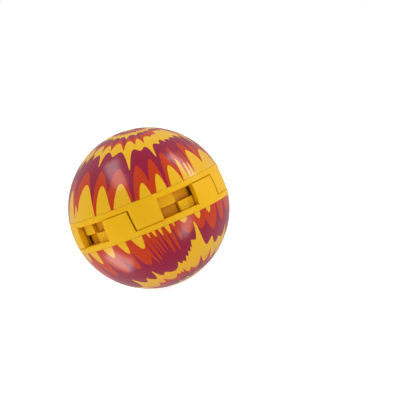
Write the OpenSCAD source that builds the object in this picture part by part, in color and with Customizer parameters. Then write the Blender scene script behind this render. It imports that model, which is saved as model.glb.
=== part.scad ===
// Hollow juggling ball in two equal halves.
// Each half is a printed dome bonded to a toothed locking ring.
// The rings slide together along the axis and lock by a short twist.
// A loose weight sits at the middle of the ball between two foam pads.
// The frame's origin is the centre of the ball and +Z is the axis of the domes.

/* [Ball] */
// Outside diameter of the ball
ball_diameter = 66; // [55:1:80]
// Wall thickness of the printed domes
dome_wall = 2.4; // [1.8:0.1:3]
// Gap for glue between a dome and the spigot of its ring
glue_gap = 0.05; // [0.03:0.01:0.1]

/* [Band round the middle] */
// Height of the open band between the two rims
band_height = 8.4; // [7.4:0.2:10.4]
// Height of the plain lip between the rim and the printed dome
lip_height = 2.5; // [2:0.1:3.2]
// Chamfer on the rim's outer edge
rim_chamfer = 0.6; // [0.2:0.05:0.8]
// Width of the fine line cut between lip and dome
line_width = 0.1; // [0.1:0.05:0.4]
// Depth of that line below the ball's surface
line_depth = 0.1; // [0.1:0.05:0.4]
// Turn of the teeth about the axis
band_azimuth = -14.5; // [-36:0.5:36]

/* [Teeth and lugs] */
// Number of teeth on each ring
tooth_count = 5; // [4:1:6]
// Width of a tooth along the surface at mid height
tooth_width = 12; // [9:0.5:14.5]
// Thickness of a tooth's outer wall
tooth_wall = 2.6; // [1.8:0.1:3]
// Free gap between a tooth's tip and the opposite rim
tip_gap = 0.1; // [0.1:0.05:0.6]
// Gap between two teeth that stand side by side
side_gap = 0.7; // [0.4:0.05:1]
// Gap between a tooth and the post beside it
post_gap = 0.15; // [0.1:0.05:0.3]
// Radial clearance between lugs and the teeth that pass over them
slide_gap = 0.25; // [0.15:0.05:0.4]
// Clearance along the axis between a barb and the lug it hooks
hook_gap = 0.2; // [0.1:0.05:0.3]
// Distance that barbs and lugs stand proud of their walls
hook_depth = 1.75; // [1.2:0.05:2.2]
// Distance from the barb's end to the side of its tooth that faces the post
barb_setback = 1.4; // [0.8:0.1:2.4]
// Slope of the sides that face a gap
gap_draft = 4; // [2:0.5:5]
// Slope of the sides where tooth and post meet
post_draft = 1.5; // [0.5:0.5:2]
// Play left before the twist meets its stop
stop_play = 0.05; // [0.03:0.01:0.1]

/* [Inner walls] */
// Thickness of the posts behind the teeth
post_wall = 1.3; // [1:0.1:1.8]
// Thickness of the collar that closes the middle of the ball
collar_wall = 1.2; // [1:0.1:1.8]
// Space between the posts and the collar
collar_gap = 0.5; // [0.3:0.05:0.8]
// Clearance between the two collars along the axis
collar_play = 0.1; // [0.06:0.02:0.2]
// Thickness of the spigot inside the dome
spigot_wall = 1.6; // [1.2:0.1:2.2]
// Height of the spigot above the lip
spigot_height = 3; // [2:0.5:5]

/* [Weight and its seat] */
// Diameter of the steel weight
weight_diameter = 26; // [20:0.5:32]
// Length of the steel weight
weight_length = 20; // [16:0.5:24]
// Chamfer on the weight's edges
weight_chamfer = 0.8; // [0.3:0.1:1.5]
// Running clearance round the weight
weight_fit = 0.08; // [0.04:0.01:0.1]
// Thickness of each foam pad
pad_thickness = 1; // [0.6:0.1:2]
// Distance from a pad's edge to the wall of its cup
pad_inset = 0.6; // [0.3:0.1:1]
// Clearance on each face of a pad
pad_play = 0.05; // [0.03:0.01:0.1]
// Wall thickness of the cups that hold the weight
cup_wall = 1.5; // [1:0.1:2.5]
// Distance between the cups' mouths
cup_spacing = 2.4; // [1:0.2:6]
// Thickness of the spokes
spoke_wall = 1.6; // [1.2:0.1:2.5]
// Height of the spokes
spoke_height = 4; // [2:0.5:6]

/* [Hidden] */
$fn = 96;

ball_r = ball_diameter / 2;
rim_z = band_height / 2;
lip_z = rim_z + lip_height;
dome_inner_r = ball_r - dome_wall;
reach = ball_diameter;
bite = 0.6;
slack = 1;

// Radii of the nested walls, from the outside in
tooth_inner_r = ball_r - tooth_wall;
lug_r = tooth_inner_r - slide_gap;
post_r = lug_r - hook_depth;
barb_r = post_r + slide_gap;
post_inner_r = post_r - post_wall;
collar_r = post_inner_r - collar_gap;
collar_inner_r = collar_r - collar_wall;

// Angles round the axis; angle 0 is the middle of the gap between two teeth
function arc(width) = width / ball_r * 180 / PI;
pitch = 360 / tooth_count;
tooth_start = arc(side_gap) / 2;
tooth_end = tooth_start + arc(tooth_width);
post_end = pitch - tooth_end - arc(post_gap);
post_start = pitch / 2 + arc(side_gap) / 2;
lock_twist = post_end - post_start + arc(post_gap);
stop_end = tooth_end + arc(post_gap) - lock_twist - arc(stop_play);

// Heights along the axis, for the half on the +Z side
tip_z = -rim_z + tip_gap;
root_z = rim_z + (rim_chamfer + lip_height - line_width) / 2;
hook_z = -hook_gap / 2;
collar_z = collar_play / 2;
seat_z = weight_length / 2 + pad_thickness + 2 * pad_play;
cup_r = weight_diameter / 2 + weight_fit;
cup_outer_r = cup_r + cup_wall;

// All space on the side of growing angle from a drafted plane through the axis
module after(angle, draft) {
    rotate([0, 0, angle]) rotate([draft, 0, 0])
        translate([0, 0, -reach]) cube([reach, reach, 2 * reach]);
}

// All space on the other side of such a plane
module before(angle, draft) {
    rotate([0, 0, angle]) rotate([draft, 0, 0])
        translate([0, -reach, -reach]) cube([reach, reach, 2 * reach]);
}

// The wedge between two drafted planes, kept from the children
module wedge(start, start_draft, end, end_draft) {
    intersection() {
        children();
        after(start, start_draft);
        before(end, end_draft);
    }
}

module tube(inner, outer, low, high) {
    difference() {
        translate([0, 0, low]) cylinder(r = outer, h = high - low);
        translate([0, 0, low - slack]) cylinder(r = inner, h = high - low + 2 * slack);
    }
}

// The part of the solid ball between two heights, outside a bore
module ball_slice(radius, inner, low, high) {
    intersection() {
        sphere(r = radius);
        tube(inner, reach, low, high);
    }
}

// A tooth's block, with a barb at its free end and a stop beside the barb
module tooth() {
    wedge(tooth_start, gap_draft, tooth_end, -post_draft)
        tube(tooth_inner_r, reach, tip_z, root_z);
    wedge(tooth_start, gap_draft, tooth_end - arc(barb_setback), -post_draft)
        tube(barb_r, tooth_inner_r + bite, tip_z, hook_z);
    wedge(tooth_start, gap_draft, stop_end, -post_draft)
        tube(barb_r, tooth_inner_r + bite, hook_z - bite, rim_z + bite);
}

// A post hangs from the ring inside the teeth, with a lug at its free end
module post() {
    wedge(post_start, gap_draft, post_end, -post_draft)
        union() {
            tube(post_inner_r, post_r, tip_z, rim_z + bite);
            tube(post_r - bite, lug_r, tip_z, hook_z);
        }
}

// The lip's blank with its chamfered rim
module lip() {
    inside = sqrt(ball_r * ball_r - rim_z * rim_z) - rim_chamfer;
    outside = ball_r + 2 * slack;
    difference() {
        tube(collar_inner_r, ball_r + slack, rim_z, lip_z);
        rotate_extrude()
            polygon([[inside, rim_z - slack], [inside, rim_z],
                     [outside, rim_z + outside - inside], [outside, rim_z - slack]]);
    }
}

// Lip and teeth together end at the ball's surface, with the fine line cut round the top
module toothed_rim() {
    line_r = sqrt(ball_r * ball_r - lip_z * lip_z) - line_depth;
    difference() {
        intersection() {
            sphere(r = ball_r);
            union() {
                lip();
                for (k = [0 : tooth_count - 1])
                    rotate([0, 0, k * pitch]) tooth();
            }
        }
        tube(line_r, reach, lip_z - line_width, lip_z + slack);
    }
}

// The spigot stands on the lip, inside the dome
module spigot() {
    spigot_r = dome_inner_r - glue_gap;
    difference() {
        ball_slice(spigot_r, collar_inner_r, lip_z - bite, lip_z + spigot_height);
        sphere(r = spigot_r - spigot_wall);
    }
}

// The cup for the weight, its spokes and the collar they stand on
module cup_and_spokes() {
    difference() {
        translate([0, 0, cup_spacing / 2])
            cylinder(r = cup_outer_r, h = seat_z + cup_wall - cup_spacing / 2);
        translate([0, 0, -slack]) cylinder(r = cup_r, h = seat_z + slack);
    }
    for (k = [0 : tooth_count - 1])
        rotate([0, 0, (k + 0.5) * pitch])
            translate([cup_r + cup_wall / 2, -spoke_wall / 2, rim_z])
                cube([collar_inner_r + collar_wall / 2 - cup_r - cup_wall / 2, spoke_wall, spoke_height]);
    tube(collar_inner_r, collar_r, collar_z, rim_z + bite);
}

module lock_ring() {
    toothed_rim();
    spigot();
    cup_and_spokes();
    for (k = [0 : tooth_count - 1])
        rotate([0, 0, k * pitch]) post();
}

module dome() {
    difference() {
        ball_slice(ball_r, 0, lip_z, ball_r + slack);
        sphere(r = dome_inner_r);
    }
}

module pad() {
    translate([0, 0, weight_length / 2 + pad_play])
        cylinder(r = cup_r - pad_inset, h = pad_thickness);
}

// Places a half's piece on the +Z side, turned to the band's azimuth
module upper() {
    rotate([0, 0, band_azimuth - 90]) children();
}

// The lower half is the same piece turned over about the gap between two teeth
module lower() {
    rotate([0, 0, band_azimuth - 90]) rotate([180, 0, 0]) children();
}

module upper_dome() {
    color("firebrick") upper() dome();
}

module lower_dome() {
    color("firebrick") lower() dome();
}

module upper_lock_ring() {
    color("gold") upper() lock_ring();
}

module lower_lock_ring() {
    color("gold") lower() lock_ring();
}

module ballast_weight() {
    half = weight_length / 2;
    edge_r = weight_diameter / 2;
    color("silver")
        rotate_extrude()
            polygon([[0, -half], [edge_r - weight_chamfer, -half], [edge_r, -half + weight_chamfer],
                     [edge_r, half - weight_chamfer], [edge_r - weight_chamfer, half], [0, half]]);
}

module upper_pad() {
    color("dimgray") upper() pad();
}

module lower_pad() {
    color("dimgray") lower() pad();
}

upper_dome();
lower_dome();
upper_lock_ring();
lower_lock_ring();
ballast_weight();
upper_pad();
lower_pad();
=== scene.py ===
import bmesh
import bpy
import numpy as np
from mathutils import Matrix, Vector


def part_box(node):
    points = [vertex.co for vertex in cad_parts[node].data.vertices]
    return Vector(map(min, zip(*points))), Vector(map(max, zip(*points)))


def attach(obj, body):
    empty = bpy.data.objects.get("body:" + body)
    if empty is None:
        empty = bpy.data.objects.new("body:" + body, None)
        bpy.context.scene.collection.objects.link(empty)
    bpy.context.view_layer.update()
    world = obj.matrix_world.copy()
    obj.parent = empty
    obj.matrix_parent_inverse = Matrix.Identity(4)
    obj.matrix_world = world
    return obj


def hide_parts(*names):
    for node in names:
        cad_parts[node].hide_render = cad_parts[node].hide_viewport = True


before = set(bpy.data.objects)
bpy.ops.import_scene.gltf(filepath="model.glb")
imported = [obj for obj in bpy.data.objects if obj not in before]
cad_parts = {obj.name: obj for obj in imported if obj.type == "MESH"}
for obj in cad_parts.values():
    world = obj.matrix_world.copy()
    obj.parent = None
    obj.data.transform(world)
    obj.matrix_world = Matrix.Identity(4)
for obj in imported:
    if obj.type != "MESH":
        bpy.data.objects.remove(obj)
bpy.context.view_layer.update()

# ---------------------------------------------------------------------------------------------
# Printed domes. Each is a hard yellow shell, about 2.4 mm thick, glued to its ring's spigot.
# The outside carries a burst of burgundy and orange ink that leaves the yellow showing in rings
# and lobes, under a coat of clear gloss.


def cad_points(node):
    """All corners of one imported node, as an array of rows in metres."""
    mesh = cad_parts[node].data
    flat = np.empty(len(mesh.vertices) * 3, np.float32)
    mesh.vertices.foreach_get("co", flat)
    return flat.reshape(-1, 3).astype(float)


def closed_turning(profile, around):
    """Carries a profile of (radius, height) once round Z. The first and last points lie on the
    axis and become single poles, so the shell is closed and has no seam. Returns points, faces."""
    turn = np.arange(around) * (2 * np.pi / around)
    body = profile[1:-1]
    rows = len(body)
    ring = np.empty((rows, around, 3))
    ring[:, :, 0] = body[:, :1] * np.sin(turn)
    ring[:, :, 1] = -body[:, :1] * np.cos(turn)
    ring[:, :, 2] = body[:, 1:2]
    points = np.vstack([[[0, 0, profile[0, 1]]], ring.reshape(-1, 3), [[0, 0, profile[-1, 1]]]])
    step, after = np.arange(around), (np.arange(around) + 1) % around
    top = np.stack([np.zeros(around, int), 1 + step, 1 + after], 1)
    base = 1 + (rows - 1) * around
    bottom = np.stack([base + after, base + step, np.full(around, len(points) - 1)], 1)
    low = 1 + np.arange(rows - 1)[:, None] * around
    quads = np.stack([low + step, low + around + step, low + around + after, low + after], 2)
    return points, quads.reshape(-1, 4), np.vstack([top, bottom])


def shell_piece(name, points, quads, triangles, material):
    """Makes one smooth-shaded mesh object out of arrays of points, quads and triangles."""
    mesh = bpy.data.meshes.new(name)
    mesh.from_pydata(points, [], quads.tolist() + triangles.tolist())
    mesh.shade_smooth()
    mesh.materials.append(material)
    piece = bpy.data.objects.new(name, mesh)
    bpy.context.scene.collection.objects.link(piece)
    return piece


tip_overshoot = 1.4
power_when_crowded, power_lost_per_degree = 1.4, 0.1
least_power, most_power = 0.62, 1.05


def tongue_edge(turn, tongues):
    """Outer edge of one ink colour round the burst's centre, in degrees from that centre.
    Each tongue is (turn, tip, crest): a tip, then an arch that bows back to the crest before the
    next tip. Between two tips the edge falls from the line joining them by an arch: one minus
    the square of the place between them, to a power that grows as the tips crowd. The arch
    starts beyond the tips and is cut off at that line, which leaves the tips blunt."""
    tongues = sorted(tongues)
    at = np.array([t[0] for t in tongues] + [tongues[0][0] + 360.0])
    tip = np.array([t[1] for t in tongues] + [tongues[0][1]])
    crest = np.array([t[2] for t in tongues])
    turn = (turn - at[0]) % 360.0 + at[0]
    k = np.clip(np.searchsorted(at, turn, side="right") - 1, 0, len(crest) - 1)
    apart = at[k + 1] - at[k]
    place = (turn - at[k]) / apart
    line = tip[k] + (tip[k + 1] - tip[k]) * place
    beyond = crest[k] + tip_overshoot * (line - crest[k])
    power = np.clip(power_when_crowded - power_lost_per_degree * apart, least_power, most_power)
    arch = (1 - (2 * place - 1) ** 2) ** power
    return np.minimum(line, beyond - (beyond - crest[k]) * arch)


def wild_tongues(seed, start, end, spacing, tip, crest):
    """Tongues for the part of an edge that is left to chance, from start to end, with spacing,
    tips and crests drawn evenly between the two values given for each."""
    chance = np.random.default_rng(seed)
    found, at = [], start
    while at < end:
        found.append((at, chance.uniform(*tip), chance.uniform(*crest)))
        at += chance.uniform(*spacing)
    return found


def burst_fields(points, side, lean, towards, edges):
    """How far each point lies outside each edge of the burst, in millimetres along the ball.
    The burst's centre leans off the dome's pole by lean degrees, towards that azimuth."""
    unit = points / np.linalg.norm(points, axis=1, keepdims=True) * (1, 1, side)
    way = np.array([np.sin(np.radians(towards)), -np.cos(np.radians(towards)), 0])
    tilt = Matrix.Rotation(np.radians(lean), 3, Vector((-way[1], way[0], 0)))
    unit = unit @ np.array(tilt)
    turn = np.degrees(np.arctan2(unit[:, 0], -unit[:, 1]))
    away = np.degrees(np.arccos(np.clip(unit[:, 2], -1, 1)))
    mm_per_degree = 1000 * ball_radius * np.pi / 180
    return np.stack([(away - tongue_edge(turn, edge)) * mm_per_degree for edge in edges], 1)


# Sizes in metres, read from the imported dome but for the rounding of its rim's outer corner.
ball_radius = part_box("upper_dome")[1].z
dome_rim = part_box("upper_dome")[0].z
dome_inside = np.linalg.norm(cad_points("upper_dome"), axis=1).min()
rim_round = 0.0002

# From the middle outwards: yellow spot, burgundy, orange, yellow ring, burgundy, orange,
# yellow ring, burgundy, orange, yellow lobes. Angles are degrees round the burst and from it.
# A tip that lies past the rim is cut off flat by it.
upper_edges = [
    [(k * 72 - 20, 5.4, 4.4) for k in range(5)],
    wild_tongues(3, -180, 172, (8, 17), (9.6, 11.6), (8.4, 9.2)),
    wild_tongues(4, -180, 174, (7, 15), (13, 15.4), (11.2, 12.4)),
    [(-79.5, 20, 18.6), (-70.5, 19, 16), (-57.5, 17.6, 16.2), (-42.5, 19.8, 16.4),
     (-25.5, 18.2, 16.8), (-10, 21.6, 16.4), (12, 19, 15.8), (32, 17.6, 15.8), (47, 17.2, 16),
     (72, 19.2, 18), (92, 20.6, 18), (101, 19, 17.2), (117, 18, 16.6), (132, 18, 16.8),
     (140.5, 20, 18.4), (152.5, 20, 18.4), (167.5, 21.6, 18.6), (192.5, 22, 19.4),
     (202.5, 20.6, 19), (214.5, 20.6, 18.8), (237.5, 21, 18.6), (250.5, 19.2, 18),
     (262.5, 20.6, 19)],
    [(-64.5, 33, 22), (-47, 26, 22), (-33, 26, 21), (-13, 29.5, 20.6), (1.8, 25.5, 20),
     (14, 25.5, 19.8), (24, 22, 19), (33, 21.5, 18), (44, 19.5, 17.4), (57, 21.4, 19.6),
     (72.5, 24, 21), (86.5, 33, 25), (107.5, 28, 26), (124.5, 30, 24), (141.5, 28, 26),
     (153.5, 29, 26.6), (166.5, 35, 27), (180.5, 31, 28.6), (190.5, 37, 29.6), (202.5, 33, 29),
     (214.5, 32, 27.6), (223.5, 30, 27), (236.5, 33, 29), (246.5, 36, 27), (263.5, 33, 27),
     (275.5, 29, 24.5)],
    [(-65.5, 33.4, 25), (-47, 32, 26), (-32, 31.8, 25.2), (-13.5, 34.6, 25.2), (2.5, 31, 24.8),
     (14.2, 32, 24.6), (31, 26.8, 25), (43, 26, 20.8), (62, 22.8, 22.4), (76.5, 44, 36),
     (87.5, 38, 27.5), (102.5, 31, 29), (112.5, 34, 30), (122.5, 33, 30.5), (127.5, 33, 28.5),
     (141.5, 34, 29), (151.5, 34, 30), (167.5, 39, 31.5), (179.5, 37, 33), (187.5, 45, 33.5),
     (203.5, 37, 31), (213.5, 36, 30.5), (223.5, 36, 30), (245.5, 37, 34), (249.5, 38, 29.5),
     (264.5, 38, 30), (275.5, 36, 28)],
    [(-78.5, 47, 38.5), (-68, 41, 33), (-57, 37.5, 34.6), (-41.5, 45.4, 33.2), (-27, 38, 35.4),
     (-8.6, 53, 35.8), (6.5, 38.4, 36), (17.8, 48, 35.4), (31, 36.8, 33.4), (39, 37.4, 34.6),
     (47, 36.8, 34.4), (57, 37, 34), (66, 39, 36), (75.5, 50, 41), (87.5, 47, 43), (94, 52, 39),
     (107.5, 41, 38.5), (117.5, 40, 37), (133.5, 41, 39), (140.5, 47, 40), (152.5, 45, 43),
     (162.5, 51, 42), (174.5, 43, 41.5), (187.5, 57, 46), (200.5, 45, 42), (210.5, 48, 41.5),
     (220.5, 44, 42), (239.5, 48, 37), (254.5, 45, 42), (265.5, 46, 41.5)],
    [(-80, 80, 53), (-66, 67, 48.2), (-43.5, 73, 49.4), (-28.5, 65, 50), (-9.5, 78, 50.6),
     (4.5, 64, 48), (16.5, 73, 45.4), (29.8, 60, 42.6), (36.6, 60, 48.6), (40, 62, 47),
     (43.6, 58, 41.8), (56, 55, 46.4), (66, 60, 47), (75, 62, 51), (90, 66, 52), (105, 64, 52),
     (122, 64, 55), (140, 66, 58), (152, 70, 59), (162, 74, 62), (172, 78, 70), (188, 90, 64),
     (203, 74, 61), (211, 72, 59), (221, 76, 60), (240, 80, 62), (252, 72, 58), (265, 80, 58)],
    [(-81.5, 104, 61.6), (-66, 81, 72), (-61.6, 77, 58), (-41.2, 83, 60.4), (-27, 81.5, 61.4),
     (-8.6, 105, 64.4), (5.8, 84, 60.6), (17.3, 88, 57), (30, 71, 53.8), (35.8, 70, 58),
     (39.4, 70, 59), (42.8, 69, 50.4), (58, 63, 54), (80, 70, 58), (92, 74, 60), (106, 74, 62),
     (122, 76, 62), (138, 76, 64), (154, 80, 68), (170, 84, 74), (188, 110, 84), (199, 92, 71.5),
     (210, 92, 70), (220.5, 95, 70), (243.5, 100, 73), (249, 100, 68.5), (265.5, 104, 68)],
]
lower_edges = [
    [(k * 72 + 10, 5.8, 4.4) for k in range(5)],
    wild_tongues(13, -180, 172, (9, 20), (9.8, 11.8), (8.4, 9.4)),
    wild_tongues(14, -180, 174, (7, 15), (13, 15.6), (11.4, 12.6)),
    wild_tongues(15, -180, 166, (14, 26), (17.5, 21), (14.5, 17)),
    [(-60, 30, 24.8), (-40, 28, 25), (-31, 30, 22.8), (-13, 27, 24.5), (-8, 28, 24.5),
     (-3, 29, 22.5), (6, 26, 22), (22.5, 35, 24)]
    + wild_tongues(16, 37, 286, (9, 18), (25, 29), (21, 24.5)),
    [(-60, 37.5, 30.8), (-40, 35.4, 31.8), (-31, 36.8, 29), (-13, 33.6, 31), (-8, 33.6, 31.2),
     (-3.4, 35, 27.2), (6, 30.8, 27), (22.6, 37, 28)]
    + wild_tongues(17, 38, 286, (10, 18), (32, 38), (26, 30)),
    [(-74, 43, 40.4), (-52.5, 52.6, 43), (-40.5, 47, 41), (-28.8, 50.4, 41), (-20.5, 42.8, 38.4),
     (-3.2, 45, 41.2), (1.5, 43.2, 41.2), (6.2, 46, 44.4), (10, 48.6, 47), (13.4, 51.2, 49.6),
     (15.6, 55, 54), (24, 72, 44)] + wild_tongues(18, 40, 276, (7, 20), (43, 54), (37, 42)),
    [(-65, 76, 61.2), (-52.6, 73, 59.2), (-38.4, 72, 57.4), (-28.6, 71.5, 55.8),
     (-18.6, 61, 52.4), (-15.2, 75, 53.6), (-11, 75, 56.2), (-8.8, 71, 57), (-5.8, 75, 58.2),
     (-2.8, 75, 54.2), (2.2, 70, 53.2), (6.6, 73, 59.6), (12, 70, 61.6)]
    + wild_tongues(19, 24, 284, (8, 18), (62, 74), (50, 60)),
    [(-78, 92, 79.4), (-66, 92, 74.8), (-51, 130, 75), (-35, 92, 72.2), (-24.8, 104, 69.8),
     (-11.8, 90, 74), (-8, 87, 72.4), (-3.4, 88, 70.8), (1.2, 90, 69), (7.4, 85, 71.8),
     (11.2, 85, 70.2)] + wild_tongues(20, 24, 272, (10, 20), (84, 100), (62, 72)),
]

# The shell's profile runs from the pole down the outside, round the rim's corner, and then up the
# inside to the pole again.
rows_outside, rows_inside, rows_on_corner, steps_round = 104, 15, 4, 720
rim_outer = np.sqrt(ball_radius**2 - dome_rim**2)
turn_to_corner = np.arccos(dome_rim / ball_radius) - rim_round / ball_radius
turns_outside = np.linspace(0, turn_to_corner, rows_outside)
turns_inside = np.linspace(np.arccos(dome_rim / dome_inside), 0, rows_inside)
corner_turns = np.linspace(0, np.pi / 2, rows_on_corner + 1)[1:]
rim_corner = np.stack([
    rim_outer - rim_round * (1 - np.cos(corner_turns)),
    dome_rim + rim_round * (1 - np.sin(corner_turns)),
], 1)
dome_profile = np.vstack([
    ball_radius * np.stack([np.sin(turns_outside), np.cos(turns_outside)], 1),
    rim_corner,
    dome_inside * np.stack([np.sin(turns_inside), np.cos(turns_inside)], 1),
])
dome_points, dome_quads, dome_fans = closed_turning(dome_profile, steps_round)

# Linear colours of the plastic and the inks. The burgundy drifts towards plum. In millimetres:
# how far an edge of ink wanders, half the width of its soft edge, and the value that stands for
# bare plastic inside the shell, well short of every edge.
yellow = (0.82, 0.45, 0.0035, 1)
orange = (0.55, 0.037, 0.0003, 1)
burgundy = (0.28, 0.006, 0.029, 1)
plum = (0.32, 0.009, 0.052, 1)
ink_creep = 0.1
ink_softness = 0.06
bare_plastic = -5
bursts = ("inner_burst", "middle_burst", "outer_burst")


def new_finish(name):
    """An empty finish: the material, its tree of nodes, and its shader."""
    material = bpy.data.materials.new(name)
    material.use_nodes = True
    return material, material.node_tree, material.node_tree.nodes["Principled BSDF"]


def on_piece(tree):
    """The place on the piece, in metres, that patterns follow."""
    return tree.nodes.new("ShaderNodeTexCoord").outputs["Object"]


def join(tree, source, socket):
    """Gives a socket its source, which is another node's output or a plain value."""
    if isinstance(source, bpy.types.NodeSocket):
        tree.links.new(source, socket)
    else:
        socket.default_value = source


def clouds(tree, where, scale, detail=2):
    """Soft random patches from 0 to 1, about one over scale metres wide."""
    noise = tree.nodes.new("ShaderNodeTexNoise")
    noise.inputs["Scale"].default_value = scale
    noise.inputs["Detail"].default_value = detail
    join(tree, where, noise.inputs["Vector"])
    return noise.outputs["Fac"]


def stretched(tree, value, start=0, end=1, low=0, high=1):
    """The value drawn out so that start gives low and end gives high, and held level past them."""
    span = tree.nodes.new("ShaderNodeMapRange")
    for socket, number in (("From Min", start), ("From Max", end), ("To Min", low), ("To Max", high)):
        span.inputs[socket].default_value = number
    join(tree, value, span.inputs["Value"])
    return span.outputs["Result"]


def blended(tree, share, first, second):
    """A colour that goes from the first to the second as the share goes from 0 to 1."""
    mix = tree.nodes.new("ShaderNodeMix")
    mix.data_type = "RGBA"
    join(tree, share, mix.inputs[0])
    join(tree, first, mix.inputs[6])
    join(tree, second, mix.inputs[7])
    return mix.outputs[2]


def pressed(tree, height, strength, depth):
    """The surface's direction once a height from 0 to 1 is pressed into it, depth in metres."""
    bump = tree.nodes.new("ShaderNodeBump")
    bump.inputs["Strength"].default_value = strength
    bump.inputs["Distance"].default_value = depth
    join(tree, height, bump.inputs["Height"])
    return bump.outputs["Normal"]


def printed_gloss():
    """Yellow plastic with two inks laid over it, under clear gloss. Each of nine fields is a
    distance outside one edge of the burst, and where it passes zero the next colour takes over,
    from the middle out. Noise moves each edge a little, as ink creeps under its stencil, and
    ripples the gloss as on any sprayed coat."""
    material, tree, shader = new_finish("printed_gloss")
    where = on_piece(tree)
    dark_ink = blended(tree, clouds(tree, where, scale=110, detail=4), burgundy, plum)
    wander = stretched(tree, clouds(tree, where, scale=900), 0.3, 0.7, -ink_creep, ink_creep)
    colour = yellow
    for burst in bursts:
        field = tree.nodes.new("ShaderNodeAttribute")
        field.attribute_name = burst
        moved = tree.nodes.new("ShaderNodeVectorMath")
        join(tree, field.outputs["Vector"], moved.inputs[0])
        join(tree, wander, moved.inputs[1])
        split = tree.nodes.new("ShaderNodeSeparateXYZ")
        join(tree, moved.outputs["Vector"], split.inputs[0])
        for part, ink in zip("XYZ", (dark_ink, orange, yellow)):
            past_edge = stretched(tree, split.outputs[part], -ink_softness, ink_softness)
            colour = blended(tree, past_edge, colour, ink)
    join(tree, colour, shader.inputs["Base Color"])
    ripple = pressed(tree, clouds(tree, where, scale=260, detail=1), strength=0.2, depth=0.00003)
    join(tree, ripple, shader.inputs["Coat Normal"])
    shader.inputs["Roughness"].default_value = 0.5
    shader.inputs["Specular IOR Level"].default_value = 0.12
    shader.inputs["Coat Weight"].default_value = 0.8
    shader.inputs["Coat Roughness"].default_value = 0.2
    return material


def printed_dome(name, body, side, lean, towards, edges, material):
    """One dome, with side 1 for the upper half and -1 for the lower one, which is the same shell
    turned over about X, so its faces still point out."""
    points = dome_points * (1, side, side)
    piece = shell_piece(name + "_shell", points, dome_quads, dome_fans, material)
    fields = burst_fields(points, side, lean, towards, edges).astype(np.float32)
    inner_wall = np.linalg.norm(points, axis=1) < (ball_radius + dome_inside) / 2
    fields[inner_wall] = bare_plastic
    for k, burst in enumerate(bursts):
        layer = piece.data.attributes.new(burst, "FLOAT_VECTOR", "POINT")
        layer.data.foreach_set("vector", np.ascontiguousarray(fields[:, 3 * k:3 * k + 3]).ravel())
    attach(piece, body)
    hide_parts(name)


gloss = printed_gloss()
printed_dome("upper_dome", "upper_half", side=1, lean=9, towards=65, edges=upper_edges, material=gloss)
printed_dome("lower_dome", "lower_half", side=-1, lean=10, towards=80, edges=lower_edges, material=gloss)

# ---------------------------------------------------------------------------------------------
# Locking rings. One yellow moulding serves both halves: lip, five teeth, five posts with lugs,
# and the spokes that carry the weight's cup. It leaves the mould with a fine satin skin.

# Colours are linear and lengths in metres. Weld and flat_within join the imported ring's loose
# triangles into whole faces. Corners sharper than corner_from are rounded.
flow_dark = (0.80, 0.425, 0.003, 1)
flow_light = (0.84, 0.475, 0.004, 1)
# Painted shade: the deeper orange below goes into the ring's base colour in hemmed-in recesses, within
# the reach that follows.
painted_recess_shade = (0.66, 0.20, 0.0004, 1)
shade_reach = 0.006
weld = 0.000002
flat_within = np.radians(0.3)
corner_round = 0.00018
corner_from = np.radians(40)


def moulded_yellow():
    """Yellow plastic with the fine satin unevenness of a sparked mould and faint flow marks. Its
    recesses carry painted shade: the base colour turns deeper orange where they are hemmed in, standing
    in for the shade and bounced light there."""
    material, tree, shader = new_finish("moulded_yellow")
    where = on_piece(tree)
    skin = pressed(tree, clouds(tree, where, scale=900, detail=3), strength=0.25, depth=0.00003)
    join(tree, skin, shader.inputs["Normal"])
    flow = blended(tree, clouds(tree, where, scale=120), flow_dark, flow_light)
    # Painted shade: ambient occlusion within that reach turns the base colour towards the deeper orange
    # in recesses.
    shade_occlusion = tree.nodes.new("ShaderNodeAmbientOcclusion")
    shade_occlusion.samples = 8
    shade_occlusion.only_local = True
    shade_occlusion.inputs["Distance"].default_value = shade_reach
    unshaded_share = stretched(tree, shade_occlusion.outputs["AO"], 0.35, 0.9)
    join(tree, blended(tree, unshaded_share, painted_recess_shade, flow), shader.inputs["Base Color"])
    shader.inputs["Roughness"].default_value = 0.36
    shader.inputs["Specular IOR Level"].default_value = 0.2
    shader.inputs["Subsurface Weight"].default_value = 0.25
    shader.inputs["Subsurface Radius"].default_value = (1, 0.45, 0.02)
    shader.inputs["Subsurface Scale"].default_value = 0.0015
    return material


def softened_ring(node, body, material):
    """A copy of one packed ring whose sharp corners are rounded off, as they leave the mould."""
    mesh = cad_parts[node].data.copy()
    work = bmesh.new()
    work.from_mesh(mesh)
    bmesh.ops.remove_doubles(work, verts=work.verts, dist=weld)
    bmesh.ops.dissolve_limit(work, angle_limit=flat_within, verts=work.verts, edges=work.edges)
    work.to_mesh(mesh)
    work.free()
    mesh.materials.clear()
    mesh.materials.append(material)
    mesh.shade_smooth()
    piece = bpy.data.objects.new(node + "_moulding", mesh)
    bpy.context.scene.collection.objects.link(piece)
    soften = piece.modifiers.new("soften", "BEVEL")
    soften.width = corner_round
    soften.segments = 2
    soften.limit_method = "ANGLE"
    soften.angle_limit = corner_from
    smooth = piece.modifiers.new("weighted", "WEIGHTED_NORMAL")
    smooth.keep_sharp = True
    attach(piece, body)
    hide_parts(node)


ring_plastic = moulded_yellow()
softened_ring("upper_lock_ring", "upper_half", ring_plastic)
softened_ring("lower_lock_ring", "lower_half", ring_plastic)

# ---------------------------------------------------------------------------------------------
# Weight and pads. A turned steel slug sits in the two cups, one in each ring, between discs of
# black foam that keep it from knocking.

steel_dark = (0.44, 0.44, 0.46, 1)
steel_light = (0.56, 0.56, 0.57, 1)
foam_in_cells = (0.012, 0.012, 0.013, 1)
foam_between = (0.04, 0.04, 0.042, 1)


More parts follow.
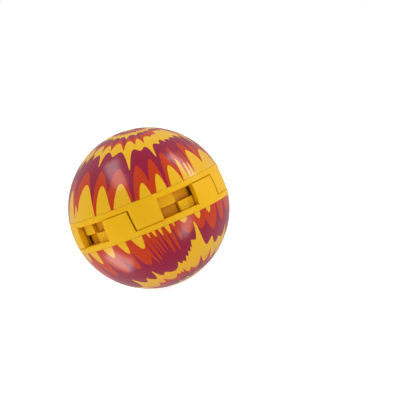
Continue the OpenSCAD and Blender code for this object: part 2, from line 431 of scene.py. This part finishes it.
def turned_steel():
    """Bright steel with the fine rings a lathe leaves, and stains that dull it in patches."""
    material, tree, shader = new_finish("turned_steel")
    where = on_piece(tree)
    lathe = tree.nodes.new("ShaderNodeTexWave")
    lathe.bands_direction = "Z"
    lathe.inputs["Scale"].default_value = 1500
    lathe.inputs["Distortion"].default_value = 0.4
    join(tree, where, lathe.inputs["Vector"])
    grooves = pressed(tree, lathe.outputs["Fac"], strength=0.4, depth=0.00001)
    join(tree, grooves, shader.inputs["Normal"])
    stain = clouds(tree, where, scale=160)
    join(tree, stretched(tree, stain, low=0.25, high=0.42), shader.inputs["Roughness"])
    join(tree, blended(tree, stain, steel_dark, steel_light), shader.inputs["Base Color"])
    shader.inputs["Metallic"].default_value = 1
    return material


def black_foam():
    """Closed-cell foam: small round cells darken its surface and press into it."""
    material, tree, shader = new_finish("black_foam")
    cells = tree.nodes.new("ShaderNodeTexVoronoi")
    cells.inputs["Scale"].default_value = 2200
    join(tree, on_piece(tree), cells.inputs["Vector"])
    from_cell = cells.outputs["Distance"]
    dimples = pressed(tree, from_cell, strength=0.7, depth=0.0001)
    join(tree, dimples, shader.inputs["Normal"])
    join(tree, blended(tree, from_cell, foam_in_cells, foam_between), shader.inputs["Base Color"])
    shader.inputs["Roughness"].default_value = 0.92
    return material


steel = turned_steel()
foam = black_foam()
for node, material in (("ballast_weight", steel), ("upper_pad", foam), ("lower_pad", foam)):
    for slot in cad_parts[node].material_slots:
        slot.material = material

# ---------------------------------------------------------------------------------------------
# Studio. The camera looks a little down on the band, turned so that the axis leans left. The
# ball's radius is ball_share of the view's width, and left_of_middle is a share of it too.

scene = bpy.context.scene
camera_distance = 23 * ball_radius
look_down = np.radians(4.0)
axis_lean = np.radians(22.5)
ball_share = 0.1946
left_of_middle = 0.1423
back = Vector((0, -np.cos(look_down), np.sin(look_down)))
level_right = Vector((1, 0, 0))
level_up = back.cross(level_right)
right = level_right * np.cos(axis_lean) - level_up * np.sin(axis_lean)
up = level_right * np.sin(axis_lean) + level_up * np.cos(axis_lean)
view = Matrix((right, up, back)).transposed()

lens = bpy.data.cameras.new("camera")
lens.sensor_width = 36
lens.lens = lens.sensor_width * ball_share * np.sqrt((camera_distance / ball_radius) ** 2 - 1)
lens.shift_x = left_of_middle
lens.clip_start = 0.01
lens.clip_end = 100
camera = bpy.data.objects.new("camera", lens)
camera.matrix_world = Matrix.Translation(back * camera_distance) @ view.to_4x4()
scene.collection.objects.link(camera)
scene.camera = camera

# The room gives an even light, but in the gloss it is pale only behind the ball and nearly dark
# in front of it, so the outline alone picks up a haze.
room_light = 0.65
gloss_behind, gloss_in_front = 0.5, 0.05
fade_start, fade_end = -0.7, 0.5
world = bpy.data.worlds.new("studio")
scene.world = world
world.use_nodes = True
room = world.node_tree
rays = room.nodes.new("ShaderNodeLightPath")
backdrop = room.nodes["Background"]
backdrop.inputs["Color"].default_value = (1, 1, 1, 1)
backdrop.inputs["Strength"].default_value = 1.0
direction = room.nodes.new("ShaderNodeTexCoord")
forwards = room.nodes.new("ShaderNodeVectorMath")
forwards.operation = "DOT_PRODUCT"
join(room, direction.outputs["Generated"], forwards.inputs[0])
join(room, back, forwards.inputs[1])
reflected = stretched(room, forwards.outputs["Value"], fade_start, fade_end,
                      gloss_behind, gloss_in_front)
reflected.node.interpolation_type = "SMOOTHSTEP"
strength = room.nodes.new("ShaderNodeMix")
join(room, rays.outputs["Is Glossy Ray"], strength.inputs[0])
join(room, room_light, strength.inputs[2])
join(room, reflected, strength.inputs[3])
walls = room.nodes.new("ShaderNodeBackground")
walls.inputs["Color"].default_value = (1, 1, 1, 1)
join(room, strength.outputs[0], walls.inputs["Strength"])
choose = room.nodes.new("ShaderNodeMixShader")
join(room, rays.outputs["Is Camera Ray"], choose.inputs[0])
join(room, walls.outputs[0], choose.inputs[1])
join(room, backdrop.outputs[0], choose.inputs[2])
join(room, choose.outputs[0], room.nodes["World Output"].inputs["Surface"])


def soft_box(name, place, size, slant, power):
    """A rectangular lamp, its size and its place along the camera's right, up and back in ball
    radii. Its long side leans from the camera's up by slant degrees, to the left when positive."""
    lamp = bpy.data.lights.new(name, "AREA")
    lamp.shape = "RECTANGLE"
    lamp.size, lamp.size_y = size[0] * ball_radius, size[1] * ball_radius
    lamp.energy = power
    holder = bpy.data.objects.new(name, lamp)
    holder.visible_camera = False
    middle = (right * place[0] + up * place[1] + back * place[2]) * ball_radius
    facing = middle.normalized()
    leaning = up * np.cos(np.radians(slant)) - right * np.sin(np.radians(slant))
    short = leaning.cross(facing).normalized()
    axes = Matrix((short, facing.cross(short), facing)).transposed()
    holder.matrix_world = Matrix.Translation(middle) @ axes.to_4x4()
    scene.collection.objects.link(holder)


soft_box("lamp_upper_left", (-7.8, 7.9, 4.5), size=(3.4, 10), slant=40, power=0.48)
soft_box("lamp_upper_right", (7.7, 9.0, 1.9), size=(2.4, 9), slant=20, power=0.45)
soft_box("lamp_lower_left", (-5.8, -10.5, -0.4), size=(5, 5.5), slant=0, power=0.45)
soft_box("lamp_lower_right", (9.1, -4.7, 6.3), size=(3, 5), slant=0, power=0.22)

# The pale floor glows to the camera, so that it runs into the white behind the ball. It is
# clear from below, so that the underside can be looked at.
floor_half_width = 6.0
floor_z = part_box("lower_dome")[0].z
floor_glow = 0.85
corners = [(x * floor_half_width, y * floor_half_width, floor_z)
           for x, y in ((-1, -1), (1, -1), (1, 1), (-1, 1))]
floor_mesh = bpy.data.meshes.new("floor")
floor_mesh.from_pydata(corners, [], [(0, 1, 2, 3)])
floor = bpy.data.objects.new("floor", floor_mesh)
scene.collection.objects.link(floor)
floor.visible_glossy = False
floor.visible_shadow = False
pale, tree, paper = new_finish("pale_floor")
rays = tree.nodes.new("ShaderNodeLightPath")
glow = tree.nodes.new("ShaderNodeMath")
glow.operation = "MULTIPLY"
join(tree, rays.outputs["Is Camera Ray"], glow.inputs[0])
join(tree, floor_glow, glow.inputs[1])
paper.inputs["Base Color"].default_value = (0.9, 0.9, 0.9, 1)
paper.inputs["Roughness"].default_value = 0.9
paper.inputs["Emission Color"].default_value = (1, 1, 1, 1)
join(tree, glow.outputs[0], paper.inputs["Emission Strength"])
facing_side = tree.nodes.new("ShaderNodeNewGeometry")
clear = tree.nodes.new("ShaderNodeBsdfTransparent")
one_way = tree.nodes.new("ShaderNodeMixShader")
join(tree, facing_side.outputs["Backfacing"], one_way.inputs[0])
join(tree, paper.outputs[0], one_way.inputs[1])
join(tree, clear.outputs[0], one_way.inputs[2])
join(tree, one_way.outputs[0], tree.nodes["Material Output"].inputs["Surface"])
floor_mesh.materials.append(pale)

scene.view_settings.view_transform = "Standard"
